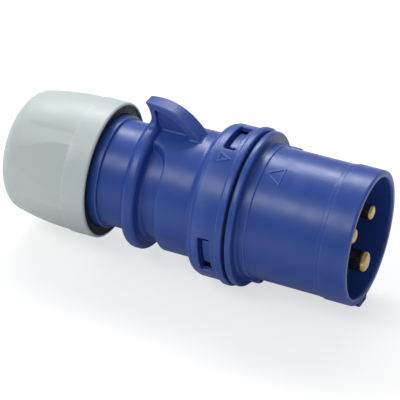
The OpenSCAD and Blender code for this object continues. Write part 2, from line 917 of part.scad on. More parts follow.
module neutral_clamp_plate() {
    clamp_plate(1);
}

module earth_clamp_plate() {
    clamp_plate(2);
}

module line_terminal_screw() {
    terminal_screw(0);
}

module neutral_terminal_screw() {
    terminal_screw(1);
}

module earth_terminal_screw() {
    terminal_screw(2);
}

front_shroud();
contact_carrier();
carrier_cap();
carrier_screws();
line_pin();
neutral_pin();
earth_pin();
line_clamp_plate();
neutral_clamp_plate();
earth_clamp_plate();
line_terminal_screw();
neutral_terminal_screw();
earth_terminal_screw();
flange_gasket();
rear_housing();
clamp_cage();
cable_seal();
gland_slip_ring();
gland_nut();
nut_mouth_ring();
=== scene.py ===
import json
import math

import bpy
import numpy as np
from mathutils import Matrix, Vector


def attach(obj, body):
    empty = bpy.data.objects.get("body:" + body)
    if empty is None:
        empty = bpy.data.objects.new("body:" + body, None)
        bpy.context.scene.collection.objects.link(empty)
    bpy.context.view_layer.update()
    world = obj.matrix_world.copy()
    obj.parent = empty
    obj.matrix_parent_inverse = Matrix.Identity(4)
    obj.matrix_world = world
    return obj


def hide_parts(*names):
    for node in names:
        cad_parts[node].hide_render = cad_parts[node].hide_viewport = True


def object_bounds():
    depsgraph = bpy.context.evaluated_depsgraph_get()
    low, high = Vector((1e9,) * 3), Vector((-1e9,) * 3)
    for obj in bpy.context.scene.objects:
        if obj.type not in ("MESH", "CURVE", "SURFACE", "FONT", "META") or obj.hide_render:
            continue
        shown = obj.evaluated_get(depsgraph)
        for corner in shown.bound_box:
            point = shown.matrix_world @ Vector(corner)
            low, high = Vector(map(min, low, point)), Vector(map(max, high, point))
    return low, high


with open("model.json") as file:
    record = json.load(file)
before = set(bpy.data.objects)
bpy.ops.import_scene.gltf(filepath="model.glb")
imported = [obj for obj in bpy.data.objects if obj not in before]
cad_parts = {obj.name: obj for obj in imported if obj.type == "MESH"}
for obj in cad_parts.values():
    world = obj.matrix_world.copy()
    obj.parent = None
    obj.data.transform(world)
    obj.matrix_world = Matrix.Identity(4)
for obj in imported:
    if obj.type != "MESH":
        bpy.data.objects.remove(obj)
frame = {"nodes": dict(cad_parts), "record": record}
cad_box = [list(corner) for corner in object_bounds()]

# The plug lies along X with its pins towards +X and its hook up. Lengths below are millimetres
# until a mesh is made; psi is the clock angle round the axis: 0 is +Y, 90 is the hook, 270 below.
MM = 0.001


# ---------------------------------------------------------------- signed distances
def join(a, b, radius):
    """Union of two solids with a concave fillet of that radius between them."""
    u = np.maximum(radius - a, 0)
    v = np.maximum(radius - b, 0)
    return np.maximum(radius, np.minimum(a, b)) - np.sqrt(u * u + v * v)


def meet(a, b, radius):
    """Intersection of two solids with a convex fillet of that radius on the edge."""
    return -join(-a, -b, radius)


def cut(a, b, radius):
    """Solid a without solid b, its new edge rounded."""
    return meet(a, -b, radius)


def wrap(angle):
    """An angle difference in degrees, brought between -180 and 180."""
    return (angle + 180) % 360 - 180


def ease(t):
    """Smooth step from 0 to 1."""
    t = np.clip(t, 0, 1)
    return t * t * (3 - 2 * t)


def plate(du, dv, radius):
    """Rounded rectangle, from the distances past its two pairs of sides."""
    du, dv = du + radius, dv + radius
    outside = np.hypot(np.maximum(du, 0), np.maximum(dv, 0))
    return outside + np.minimum(np.maximum(du, dv), 0) - radius


def polygon_distance(points, u, v):
    """Signed distance to a closed outline, negative inside."""
    best = np.full(np.broadcast(u, v).shape, 1e9)
    inside = np.zeros(best.shape, bool)
    for (au, av), (bu, bv) in zip(points, np.roll(points, -1, axis=0)):
        eu, ev = bu - au, bv - av
        wu, wv = u - au, v - av
        t = np.clip((wu * eu + wv * ev) / (eu * eu + ev * ev), 0, 1)
        best = np.minimum(best, (wu - eu * t) ** 2 + (wv - ev * t) ** 2)
        if ev != 0:
            inside ^= ((av <= v) != (bv <= v)) & (wu < wv * eu / ev)
    return np.where(inside, -1, 1) * np.sqrt(best)


def rounded(corners, steps=8):
    """Outline through corners [u, v, radius], each rounded by its radius."""
    out = []
    for i, (u, v, radius) in enumerate(corners):
        p = np.array([u, v], float)
        if radius == 0:
            out.append(p)
            continue
        a = np.array(corners[i - 1][:2]) - p
        b = np.array(corners[(i + 1) % len(corners)][:2]) - p
        a, b = a / np.linalg.norm(a), b / np.linalg.norm(b)
        half = math.acos(np.clip(a @ b, -1, 1)) / 2
        centre = p + (a + b) / np.linalg.norm(a + b) * radius / math.sin(half)
        start = p + a * radius / math.tan(half) - centre
        end = p + b * radius / math.tan(half) - centre
        turn = math.atan2(start[0] * end[1] - start[1] * end[0], start @ end)
        for s in range(steps + 1):
            c, d = math.cos(turn * s / steps), math.sin(turn * s / steps)
            out.append(centre + [c * start[0] - d * start[1], d * start[0] + c * start[1]])
    return np.array(out)


class Profile:
    """Solid of revolution from an outline in (x, r), kept as a table of distances."""

    def __init__(self, outline, pitch=0.06, margin=3.0):
        points = np.array(outline, float)
        low, high = points.min(0) - margin, points.max(0) + margin
        self.low, self.pitch = low, pitch
        self.count = np.ceil((high - low) / pitch).astype(int) + 1
        u = low[0] + pitch * np.arange(self.count[0])
        v = low[1] + pitch * np.arange(self.count[1])
        self.table = polygon_distance(points, u[:, None], v[None, :])

    def __call__(self, x, r):
        u, v = np.broadcast_arrays((x - self.low[0]) / self.pitch, (r - self.low[1]) / self.pitch)
        i = np.clip(np.floor(u).astype(int), 0, self.count[0] - 2)
        j = np.clip(np.floor(v).astype(int), 0, self.count[1] - 2)
        s, t = u - i, v - j
        g = self.table
        near = g[i, j] * (1 - t) + g[i, j + 1] * t
        far = g[i + 1, j] * (1 - t) + g[i + 1, j + 1] * t
        return near * (1 - s) + far * s


# ---------------------------------------------------------------- meshes
def lines(low, high, step, fine=()):
    """Grid lines from low to high, closer where fine gives (from, to, step)."""
    out, at = [low], low
    while at < high - 1e-9:
        here = min([step] + [f[2] for f in fine if f[0] - 1e-9 <= at < f[1] - 1e-9])
        ahead = [f[0] for f in fine if at + 1e-9 < f[0] < at + here]
        at = min([at + here] + ahead + [high])
        out.append(at)
    return np.array(out)


def to_cylinder(p):
    """Cylinder coordinates x, r, psi of points."""
    return p[:, 0], np.hypot(p[:, 1], p[:, 2]), np.degrees(np.arctan2(p[:, 2], p[:, 1]))


def gradient(solid, p, h):
    """Gradient of a solid's distance at points, by central differences."""
    out = np.empty_like(p)
    for axis in range(3):
        step = np.zeros(3)
        step[axis] = h
        out[:, axis] = (solid(*to_cylinder(p + step)) - solid(*to_cylinder(p - step))) / (2 * h)
    return out


def settle(solid, p, rounds=3, h=0.03, most=0.25):
    """Moves points onto a solid's surface along its gradient."""
    for _ in range(rounds):
        value = solid(*to_cylinder(p))
        g = gradient(solid, p, h)
        move = -value / np.maximum((g * g).sum(1), 0.2)
        length = np.abs(move) * np.linalg.norm(g, axis=1)
        move *= np.minimum(1, most / np.maximum(length, 1e-9))
        p = p + g * move[:, None]
    return p


def surface_net(solid, xs, psis, rs):
    """Quads of the surface where a solid's distance is zero, on a grid round the X axis."""
    nx, npsi, nr = len(xs), len(psis), len(rs)
    values = np.broadcast_to(
        solid(xs[:, None, None], rs[None, None, :], psis[None, :, None]), (nx, npsi, nr)
    )
    ring = np.concatenate([values, values[:, :1]], axis=1)
    psi_ring = np.append(psis, psis[0] + 360)
    sign = ring < 0
    corners = [(a, b, c) for a in (0, 1) for b in (0, 1) for c in (0, 1)]
    count = np.zeros((nx - 1, npsi, nr - 1), np.int8)
    for a, b, c in corners:
        count += sign[a : a + nx - 1, b : b + npsi, c : c + nr - 1]
    cells = np.argwhere((count > 0) & (count < 8))
    index = np.full(count.shape, -1)
    index[tuple(cells.T)] = np.arange(len(cells))
    total = np.zeros((len(cells), 3))
    crossings = np.zeros(len(cells))
    axes = (xs, psi_ring, rs)
    for a in corners:
        for axis in range(3):
            if a[axis]:
                continue
            b = list(a)
            b[axis] = 1
            ia, ib = (cells + a).T, (cells + b).T
            va, vb = ring[tuple(ia)], ring[tuple(ib)]
            crossed = (va < 0) != (vb < 0)
            t = np.where(crossed, va / np.where(crossed, va - vb, 1), 0)
            for k in range(3):
                at = axes[k][ia[k]] * (1 - t) + axes[k][ib[k]] * t
                total[:, k] += np.where(crossed, at, 0)
            crossings += crossed
    x, psi, r = (total / crossings[:, None]).T
    points = np.stack([x, r * np.cos(np.radians(psi)), r * np.sin(np.radians(psi))], 1)

    quads = []

    def add(first, cell_sets):
        inward = sign[tuple(first.T)]
        q = np.stack([index[tuple(c.T)] for c in cell_sets], 1)
        q[~inward] = q[~inward][:, ::-1]
        quads.append(q)

    def shift(cell, di, dj, dk):
        c = cell + [di, dj, dk]
        c[:, 1] %= npsi
        return c

    e = np.argwhere(sign[:-1, :npsi, 1:-1] != sign[1:, :npsi, 1:-1]) + [0, 0, 1]
    add(e, [shift(e, 0, -1, -1), shift(e, 0, -1, 0), e, shift(e, 0, 0, -1)])
    e = np.argwhere(sign[1:-1, :-1, 1:-1] != sign[1:-1, 1:, 1:-1]) + [1, 0, 1]
    add(e, [shift(e, -1, 0, -1), shift(e, 0, 0, -1), e, shift(e, -1, 0, 0)])
    e = np.argwhere(sign[1:-1, :npsi, :-1] != sign[1:-1, :npsi, 1:]) + [1, 0, 0]
    add(e, [shift(e, -1, -1, 0), shift(e, -1, 0, 0), e, shift(e, 0, -1, 0)])
    return points, np.concatenate(quads)


EDGE_SCALE = 0.35


def skin(name, solid, xs, psis, rs, keep=1.0):
    """Mesh object of a solid. keep below 1 thins the mesh where the surface is plain.

    Its normals are the solid's own, and its attribute edge says how convex the surface is at
    the scale EDGE_SCALE, for the lighter edges, which are part wear and part painted highlight.
    """
    points, quads = surface_net(solid, xs, psis, rs)
    points = settle(solid, points)
    mesh = bpy.data.meshes.new(name)
    mesh.from_pydata(points.tolist(), [], quads.tolist())
    mesh.update()
    obj = bpy.data.objects.new(name, mesh)
    bpy.context.scene.collection.objects.link(obj)
    if keep < 1:
        thin = obj.modifiers.new("thin", "DECIMATE")
        thin.ratio = keep
        depsgraph = bpy.context.evaluated_depsgraph_get()
        mesh = bpy.data.meshes.new_from_object(obj.evaluated_get(depsgraph))
        obj.modifiers.clear()
        obj.data = mesh
        points = np.zeros(len(mesh.vertices) * 3)
        mesh.vertices.foreach_get("co", points)
        points = settle(solid, points.reshape(-1, 3), rounds=2)
    normals = gradient(solid, points, 0.05)
    normals /= np.maximum(np.linalg.norm(normals, axis=1), 1e-6)[:, None]
    bend = -6 * solid(*to_cylinder(points))
    for axis in range(3):
        step = np.zeros(3)
        step[axis] = EDGE_SCALE
        bend += solid(*to_cylinder(points + step)) + solid(*to_cylinder(points - step))
    edge = mesh.attributes.new("edge", "FLOAT", "POINT")
    edge.data.foreach_set("value", np.clip(bend / EDGE_SCALE, -1, 1).astype(np.float32))
    mesh.vertices.foreach_set("co", (points * MM).ravel())
    mesh.polygons.foreach_set("use_smooth", np.ones(len(mesh.polygons), bool))
    mesh.update()
    mesh.normals_split_custom_set_from_vertices(normals.tolist())
    return obj


# ---------------------------------------------------------------- sizes, in millimetres
# A name in _R is a radius, in _X a place along the plug's axis, in _AT a clock angle. The ends of
# each moulding come from the frame. The rest repeats the sizes of the solid that a skin replaces.
def extent(node):
    """Low and high corner of a CAD node's box, to a hundredth of a millimetre."""
    solid = frame["nodes"][node]
    corners = np.array([solid.matrix_world @ Vector(c) for c in solid.bound_box]) / MM
    return corners.min(0).round(2).tolist(), corners.max(0).round(2).tolist()


housing_low, housing_high = extent("rear_housing")
front_low, _ = extent("front_shroud")
nut_low, nut_high = extent("gland_nut")

# Rear housing, from its front lip to the thread's end
FRONT_X, THREAD_X, LIP_R = housing_high[0], housing_low[0], -housing_low[2]
LIP_X, RING_X, SHOULDER_X, CORE_X, GRIP_X = -42.0, -50.3, -52.3, -58.0, -65.0
DISC_X, GRIP_END_X, DISC_BACK_X, TAIL_X, LEAD_X = -71.5, -74.0, -76.5, -86.0, -92.0
RING_R, GRIP_R, NECK_R, DISC_R, TAIL_R = 24.9, 20.5, 17.7, 22.1, 17.5
RING_STEP = 0.25
THREAD_R, CORE_R, END_R = 18.6, 17.7, 15.4
CHAMBER_R, CHAMBER_X = 18.2, -62.5
TRACK_X, TRACK_BACK_X, TRACK_R = -42.3, -47.7, 23.4

# Front part: the spigot with its lugs, the flange and the sleeve
SPIGOT_X, FLANGE_R = front_low[0], -front_low[2]
SPIGOT_R, SPIGOT_PLAY = 21.6, 0.3
LUG_X, LUG_BACK_X, LUG_R, LUG_HALF_SPAN = -42.6, -46.9, 23.1, 12.0
LUG_AT = (90, 195, 345)
MARK_AT, MARK_H, MARK_LINE, MARK_INSET = 114.5, 0.22, 0.55, 0.3
SLEEVE_R, BAND_R, BORE_R = 21.3, 21.75, 19.45
FLANGE_X, FLANGE_BACK_X, FLOOR_X = -36.6, -38.7, -35.6
COLLAR_H = 0.4

# Gland nut: a plain band and a dome that tapers, then rounds off
NUT_X, NUT_END_X, NUT_R = nut_high[0], nut_low[0], -nut_low[2]
NUT_BAND_X, NUT_FLOOR_X = -96.6, -119.0
DOME_R, DOME_LEN, DOME_TAPER, ROUNDING_LEN, ROUNDING_FALL = 22.2, 25.6, 3.6, 5.8, 8.6

# Outlines close at these radii, where the void that is cut afterwards takes them away
HEART_R, BELOW_R = 10, -5


def arc_distance(x, psi, radius, x0, x1, psi_mid, half_span, corner):
    """Rounded patch between two places and two clock angles on a cylinder of that radius."""
    along = np.abs(x - (x0 + x1) / 2) - abs(x1 - x0) / 2
    around = (np.abs(wrap(psi - psi_mid)) - half_span) * math.radians(radius)
    return plate(along, around, corner)


def mark_distance(x, psi, r, radius, tip_x, base_x, half_w, angle):
    """Raised outline of a triangle that points along X, laid on a cylinder."""
    s = wrap(psi - angle) * math.radians(radius)
    outline = [[tip_x, 0.0], [base_x, half_w], [base_x, -half_w]]
    inset = polygon_distance(outline, x, s) + MARK_INSET
    line = np.abs(inset) - MARK_LINE / 2
    return np.maximum(line, np.abs(r - radius) - MARK_H)


# ---------------------------------------------------------------- rear housing
# Outline corners are [x, r, radius of the rounding].
ring_edge_x, ring_edge_r = RING_X + 0.45, RING_R - RING_STEP
grip_tube = Profile(rounded([
    [FRONT_X, HEART_R, 0], [FRONT_X, LIP_R, 0.7], [LIP_X, LIP_R, 0.6], [LIP_X, RING_R, 0.45],
    [ring_edge_x, RING_R, 0.18], [RING_X + 0.4, ring_edge_r, 0.05],
    [SHOULDER_X, ring_edge_r, 2.2], [SHOULDER_X, GRIP_R, 1.9],
    [GRIP_END_X, GRIP_R, 0], [GRIP_END_X, HEART_R, 0],
]))
core_tube = Profile(rounded([
    [CORE_X, HEART_R, 0], [CORE_X, NECK_R, 0], [DISC_X, NECK_R, 1.1], [DISC_X, DISC_R, 1.5],
    [DISC_BACK_X, DISC_R, 2.4], [DISC_BACK_X, TAIL_R, 0.9], [TAIL_X, TAIL_R, 0.25],
    [TAIL_X, THREAD_R, 0.35], [LEAD_X, THREAD_R, 0.5], [LEAD_X, CORE_R, 0.3],
    [THREAD_X, CORE_R, 0.4], [THREAD_X, HEART_R, 0],
]))
socket_r, socket_x = SPIGOT_R + SPIGOT_PLAY, SPIGOT_X - SPIGOT_PLAY
ahead_x, behind_x = FRONT_X + 3.6, THREAD_X - 3.0
housing_void = Profile(rounded([
    [ahead_x, BELOW_R, 0], [ahead_x, socket_r, 0], [TRACK_X, socket_r, 0],
    [TRACK_X, TRACK_R, 0.3], [TRACK_BACK_X, TRACK_R, 0.3], [TRACK_BACK_X, socket_r, 0],
    [socket_x, socket_r, 0.3], [socket_x, CHAMBER_R, 0.4], [CHAMBER_X, CHAMBER_R, 0.6],
    [CHAMBER_X, END_R, 0.4], [behind_x, END_R, 0], [behind_x, BELOW_R, 0],
]))

# The finger groove stops at a bridge on top, which carries the hook.
BRIDGE_HALF_W, GROOVE_CORNER, GROOVE_DEEP = 7.4, 7.4, 15.4
# Hook: the strap's outer and inner arcs, the finger hollow behind it and the slanted tip.
HOOK_X, HOOK_Z, HOOK_ARC = -74.5, 9.0, 20.65
STRAP_X, STRAP_ARC = -75.84, 18.65
HOLLOW_X, HOLLOW_Z, HOLLOW_R, RIM_W = -84.0, 22.9, 9.4, 1.75
TIP_X, TIP_Z, TIP_SLOPE, HOOK_ROOT_Z = -77.3, 29.5, 0.33, 15.0
HOOK_HALF_W, HOOK_TIP_HALF_W, WEB_HALF_W = 3.1, 2.6, 1.2
HOOK_NARROW_X, HOOK_NARROW_LEN = -70.0, 7.0
# The fillet at the hook's foot grows towards the disc.
FOOT_FILLET, FOOT_EXTRA, FOOT_X, FOOT_LEN = 0.6, 2.2, -70.5, 4.0
# Thread ridges: half the width of a crest, and how a flank's distance grows with x and with r.
THREAD_PITCH, CREST_HALF_W, FLANK_X, FLANK_R = 3.0, 0.35, 0.55, 0.8
THREAD_MID_X, THREAD_HALF_LEN = -98.0, 5.6
# Lug windows: their turn from the lugs, half their span, and the radius that they reach down to.
WINDOW_TURN, WINDOW_HALF_SPAN, WINDOW_R, WINDOW_X = 1, 17, 22.6, LUG_X - 1
RING_MARK_TIP_X, RING_MARK_HALF_W, RING_MARK_TURN = -43.6, 2.1, 2


def hook_distance(x, y, z):
    """Finger hook: an arched strap on a thinner web, hollowed at its back."""
    arch = np.hypot(x - HOOK_X, z - HOOK_Z) - HOOK_ARC
    from_hollow = np.hypot(x - HOLLOW_X, z - HOLLOW_Z)
    tip = TIP_X + TIP_SLOPE * (TIP_Z - z) - x
    outline = meet(arch, HOLLOW_R - from_hollow, 0.5)
    outline = meet(outline, np.maximum(tip, HOOK_ROOT_Z - z), 0.35)
    narrow = ease((HOOK_NARROW_X - x) / HOOK_NARROW_LEN)
    half_w = HOOK_HALF_W - (HOOK_HALF_W - HOOK_TIP_HALF_W) * narrow
    body = meet(outline, np.abs(y) - half_w, 0.55)
    under_strap = np.hypot(x - STRAP_X, z - HOOK_Z) - STRAP_ARC
    behind_rim = HOLLOW_R + RIM_W - from_hollow
    pocket = meet(under_strap, behind_rim, 0.8)
    pocket = meet(pocket, WEB_HALF_W - np.abs(y), 0.5)
    return cut(body, pocket, 0.4)


def housing(x, r, psi):
    """Rear housing: grip with its groove, core with the thread, hook, windows and mark."""
    y, z = r * np.cos(np.radians(psi)), r * np.sin(np.radians(psi))
    beside = np.where(z > 0, BRIDGE_HALF_W - np.abs(y), -GROOVE_DEEP)
    groove = plate(x - GRIP_X, beside, GROOVE_CORNER)
    grip = cut(grip_tube(x, r), groove, 0.8)
    ridge = np.abs(wrap(360 * (x - LEAD_X) / THREAD_PITCH - psi)) / 360 * THREAD_PITCH
    flank = FLANK_X * (ridge - CREST_HALF_W) + FLANK_R * (r - THREAD_R)
    thread = np.maximum(flank, np.abs(x - THREAD_MID_X) - THREAD_HALF_LEN)
    core = join(core_tube(x, r), thread, 0.15)
    solid = join(grip, core, 0.35)
    foot = FOOT_FILLET + FOOT_EXTRA * ease((FOOT_X - x) / FOOT_LEN)
    solid = join(solid, hook_distance(x, y, z), foot)
    for at in LUG_AT:
        window = arc_distance(x, psi, RING_R, TRACK_BACK_X, WINDOW_X, at + WINDOW_TURN,
                              WINDOW_HALF_SPAN, 0.7)
        solid = cut(solid, np.maximum(window, WINDOW_R - r), 0.35)
    mark = mark_distance(x, psi, r, RING_R, RING_MARK_TIP_X, TRACK_BACK_X, RING_MARK_HALF_W,
                         MARK_AT + RING_MARK_TURN)
    return np.maximum(join(solid, mark, 0.12), -housing_void(x, r))


# ---------------------------------------------------------------- sleeve with its flange
sleeve_tube = Profile(rounded([
    [0, HEART_R, 0], [0, BAND_R, 0.75], [-8.8, BAND_R, 0.2], [-8.95, SLEEVE_R + 0.2, 0.15],
    [-10.3, SLEEVE_R + 0.13, 0.1], [-10.45, SLEEVE_R, 0.1], [-33.35, SLEEVE_R, 0.2],
    [-33.6, SLEEVE_R + COLLAR_H, 0.2], [FLANGE_X, SLEEVE_R + COLLAR_H, 0.8],
    [FLANGE_X, FLANGE_R, 0.7], [FLANGE_BACK_X, FLANGE_R, 0.6], [FLANGE_BACK_X, SPIGOT_R, 0.2],
    [SPIGOT_X, SPIGOT_R, 0.3], [SPIGOT_X, HEART_R, 0],
]))
# Bore, with the flared mouth in front and the ledge that the insulating block rests on.
MOUTH_R, LEDGE_R, LEDGE_BACK_X = 20.2, 18.25, -37.0
sleeve_void = Profile(rounded([
    [3, BELOW_R, 0], [3, MOUTH_R, 0], [0.6, MOUTH_R, 0.6], [-0.65, BORE_R, 1.2],
    [FLOOR_X, BORE_R, 0.2], [FLOOR_X, LEDGE_R, 0.2], [LEDGE_BACK_X, LEDGE_R, 0.1],
    [LEDGE_BACK_X, BORE_R, 0.1], [-53, BORE_R, 0], [-53, BELOW_R, 0],
]))
KEY_MID_X, KEY_HALF_LEN, KEY_HALF_W, KEY_H, KEY_FOOT_Z = -13.25, 12.75, 3.0, 2.5, -20.5
SLOT_Z, SLOT_HALF_W, SLOT_X = -22.75, 0.75, -5.0
# Small stops in front of the flange: radius, front end, clock angle, height and its rounding.
STOP_HALF_SPAN, STOP_BACK_X = 6, FLANGE_X - 0.5
STOPS = ((22.5, -31.8, 246, 1.6, 0.6, 0.5), (22.0, -29.3, 50, 0.5, 0.6, 0.3))
SLEEVE_MARK_TIP_X, SLEEVE_MARK_BASE_X, SLEEVE_MARK_HALF_W = -32.9, -26.9, 3.6


def sleeve(x, r, psi):
    """Front part's moulding: sleeve with key and slot, stops, lugs and mark."""
    y, z = r * np.cos(np.radians(psi)), r * np.sin(np.radians(psi))
    key = plate(np.abs(x - KEY_MID_X) - KEY_HALF_LEN, np.abs(y) - KEY_HALF_W, 0.6)
    key = meet(key, -z - (BAND_R + KEY_H), 0.45)
    key = np.maximum(key, z - KEY_FOOT_Z)
    slot = plate(np.abs(y) - SLOT_HALF_W, np.abs(z - SLOT_Z) - SLOT_HALF_W, 0.3)
    slot = np.maximum(slot, SLOT_X - x)
    solid = cut(join(sleeve_tube(x, r), key, 0.4), slot, 0.15)
    for radius, front_x, at, height, corner, rounding in STOPS:
        stop = arc_distance(x, psi, radius, STOP_BACK_X, front_x, at, STOP_HALF_SPAN, corner)
        stop = meet(stop, r - SLEEVE_R - height, rounding)
        solid = join(solid, np.maximum(stop, SLEEVE_R - 1 - r), 0.35)
    for at in LUG_AT:
        lug = arc_distance(x, psi, LUG_R, LUG_BACK_X, LUG_X, at, LUG_HALF_SPAN, 0.4)
        solid = join(solid, np.maximum(meet(lug, r - LUG_R, 0.3), SPIGOT_R - 0.8 - r), 0.2)
    mark = mark_distance(x, psi, r, SLEEVE_R, SLEEVE_MARK_TIP_X, SLEEVE_MARK_BASE_X,
                         SLEEVE_MARK_HALF_W, MARK_AT)
    return np.maximum(join(solid, mark, 0.12), -sleeve_void(x, r))


# ---------------------------------------------------------------- gland nut
# Two grip pads: half their span, where their side ramps end, their depth and their length.
PAD_AT, PAD_HALF, RAMP_END, PAD_DEPTH, PAD_LEN = (157.5, 337.5), 37.4, 31.0, 0.5, 16.0
PAD_FADE, PAD_FADE_LEN = 2.5, 5.0
# The flat inside each pad: its distance from the axis, half its span, and its sides' slope.
FLAT_DISTANCE, FLAT_HALF, FLAT_SLOPE = 20.12, 23.0, 0.38


def dome_radius(d):
    """Radius of the nut's dome at a distance behind its band."""
    u = np.clip((d - DOME_LEN + ROUNDING_LEN) / ROUNDING_LEN, 0, 1)
    return DOME_R - DOME_TAPER * (d / DOME_LEN) ** 2 - ROUNDING_FALL * (1 - np.sqrt(1 - u * u))


dome_outline = [
    [NUT_BAND_X - d, float(dome_radius(d))]
    for d in DOME_LEN * np.sin(np.radians(np.linspace(0, 90, 90)))
]
band_outline = rounded([
    [NUT_X, HEART_R, 0], [NUT_X, NUT_R, 0.8], [NUT_BAND_X, NUT_R, 0.12],
]).tolist()
nut_tube = Profile(band_outline + dome_outline + [[NUT_END_X, 5]])
# Inside: the seat of the mouth ring, the threaded bore, the cone round the fingers, the floor.
SEAT_R, SEAT_X, BORE_THREAD_R, BORE_THREAD_X = 21.6, -91.4, 18.9, -105.4
CONE_R, CONE_X, FINGER_R, FINGER_X, CABLE_R = 17.6, -106.0, 14.0, -116.0, 9.0
nut_void = Profile(rounded([
    [-85, BELOW_R, 0], [-85, SEAT_R, 0], [SEAT_X, SEAT_R, 0.1], [SEAT_X, BORE_THREAD_R, 0.4],
    [BORE_THREAD_X, BORE_THREAD_R, 0.4], [CONE_X, CONE_R, 0.4], [FINGER_X, FINGER_R, 0.3],
    [NUT_FLOOR_X, FINGER_R, 0.3], [NUT_FLOOR_X, CABLE_R, 0.5], [-126, CABLE_R, 0],
    [-126, BELOW_R, 0],
]))


def nut(x, r, psi):
    """Gland nut with its two grip pads."""
    solid = nut_tube(x, r)
    back = NUT_BAND_X - x
    fade = ease((PAD_LEN + PAD_FADE - back) / PAD_FADE_LEN)
    dome = dome_radius(np.maximum(back, 0))
    for at in PAD_AT:
        off = np.abs(wrap(psi - at))
        ramp = ease((PAD_HALF - off) / (PAD_HALF - RAMP_END))
        recess = np.maximum(dome - PAD_DEPTH * ramp * fade - r, -back)
        flat = FLAT_DISTANCE - r * np.cos(np.radians(off))
        flat = np.maximum(flat, (off - FLAT_HALF) * FLAT_SLOPE)
        solid = np.maximum(solid, -np.minimum(recess, np.maximum(flat, -back)))
    return np.maximum(solid, -nut_void(x, r))


# ---------------------------------------------------------------- the three moulded skins
# Grids are (from, to, step) and closer where an edge, a groove or a mark crosses them.
def edges_of(half_span, width, step):
    """Fine bands of clock angle on both sides of each lug, where a slot or lug ends."""
    return [
        ((at + side * half_span - width) % 360, (at + side * half_span + width) % 360, step)
        for at in LUG_AT
        for side in (-1, 1)
    ]


def turn_lines(step, fine=()):
    """Clock angles round the whole turn."""
    return lines(0.0, 360.0, step, fine)[:-1]


housing_skin = skin(
    "housing_skin", housing,
    lines(-105.2, -38.4, 0.6, [
        (-43.0, -39.3, 0.16), (-48.4, -43.0, 0.22), (-50.8, -49.5, 0.12), (-55.0, -50.8, 0.35),
        (-66.5, -64.0, 0.2), (-77.6, -66.5, 0.28), (-87.0, -85.4, 0.15), (-104.6, -91.2, 0.24),
    ]),
    turn_lines(1.5, [(72.0, 108.0, 0.55), (40.0, 72.0, 0.9), (108.0, 140.0, 0.9),
                     (110.5, 122.5, 0.35)] + edges_of(17, 2.5, 0.35)),
    lines(13.0, 31.0, 0.5, [(20.0, 26.2, 0.3)]),
    keep=0.44,
)
sleeve_skin = skin(
    "sleeve_skin", sleeve,
    lines(-51.0, 1.2, 0.9, [
        (-1.6, 0.2, 0.16), (-10.9, -8.4, 0.12), (-33.9, -32.9, 0.12), (-33.0, -26.5, 0.25),
        (-39.4, -34.6, 0.18), (-50.4, -49.4, 0.2), (-47.4, -42.2, 0.3),
    ]),
    turn_lines(1.5, [(104.0, 125.0, 0.45), (258.0, 282.0, 0.5)] + edges_of(12, 1.5, 0.4)
               + [(42.0, 58.0, 0.6), (238.0, 254.0, 0.6)]),
    lines(16.0, 26.6, 0.45),
    keep=0.72,
)
nut_skin = skin(
    "nut_skin", nut,
    lines(-123.2, -87.2, 0.5, [
        (-89.4, -88.0, 0.14), (-97.0, -96.2, 0.08), (-122.6, -116.0, 0.22),
    ]),
    turn_lines(1.5, [(118.0, 197.0, 0.6), (298.0, 359.9, 0.6), (0.0, 17.0, 0.6)]),
    lines(7.5, 23.6, 0.5, [(19.6, 23.0, 0.35)]),
    keep=0.85,
)

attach(housing_skin, "housing")
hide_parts("rear_housing")
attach(sleeve_skin, "front")
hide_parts("front_shroud")
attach(nut_skin, "nut")
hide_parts("gland_nut")


# ---------------------------------------------------------------- materials
def linear(c):
    """Linear value of one 8-bit screen value."""
    return c / 255 / 12.92 if c <= 10 else ((c / 255 + 0.055) / 1.055) ** 2.4


def srgb(r, g, b):
    """Linear colour of 8-bit screen values."""
    return linear(r), linear(g), linear(b)


def blank_material(name):
    """New material with nothing but an output node."""
    mat = bpy.data.materials.new(name)
    mat.use_nodes = True
    tree = mat.node_tree
    tree.nodes.clear()
    return mat, tree, tree.nodes.new("ShaderNodeOutputMaterial")


def new_material(name):
    """New material with a shader, and the part's own coordinates for its textures."""
    mat, tree, out = blank_material(name)
    shader = tree.nodes.new("ShaderNodeBsdfPrincipled")
    tree.links.new(shader.outputs["BSDF"], out.inputs["Surface"])
    place = tree.nodes.new("ShaderNodeTexCoord")
    return mat, tree, shader, place.outputs["Object"]


def noise(tree, place, scale, detail=3.0, stretch=None):
    """Noise texture in the part's own coordinates; scale is waves per metre."""
    if stretch:
        squeeze = tree.nodes.new("ShaderNodeMapping")
        squeeze.inputs["Scale"].default_value = stretch
        tree.links.new(place, squeeze.inputs["Vector"])
        place = squeeze.outputs["Vector"]
    node = tree.nodes.new("ShaderNodeTexNoise")
    node.inputs["Scale"].default_value = scale
    node.inputs["Detail"].default_value = detail
    tree.links.new(place, node.inputs["Vector"])
    return node.outputs["Fac"]


def spread(tree, value, low, high, from_low=0.3, from_high=0.7):
    """Maps a value's range to low and high."""
    node = tree.nodes.new("ShaderNodeMapRange")
    node.inputs["From Min"].default_value = from_low
    node.inputs["From Max"].default_value = from_high
    node.inputs["To Min"].default_value = low
    node.inputs["To Max"].default_value = high
    tree.links.new(value, node.inputs["Value"])
    return node.outputs["Result"]


def mix_colour(tree, amount, a, b):
    """Colour between a and b, each a colour or a socket."""
    node = tree.nodes.new("ShaderNodeMix")
    node.data_type = "RGBA"
    tree.links.new(amount, node.inputs["Factor"])
    for socket, colour in ((node.inputs[6], a), (node.inputs[7], b)):
        if isinstance(colour, tuple):
            socket.default_value = (*colour, 1)
        else:
            tree.links.new(colour, socket)
    return node.outputs[2]


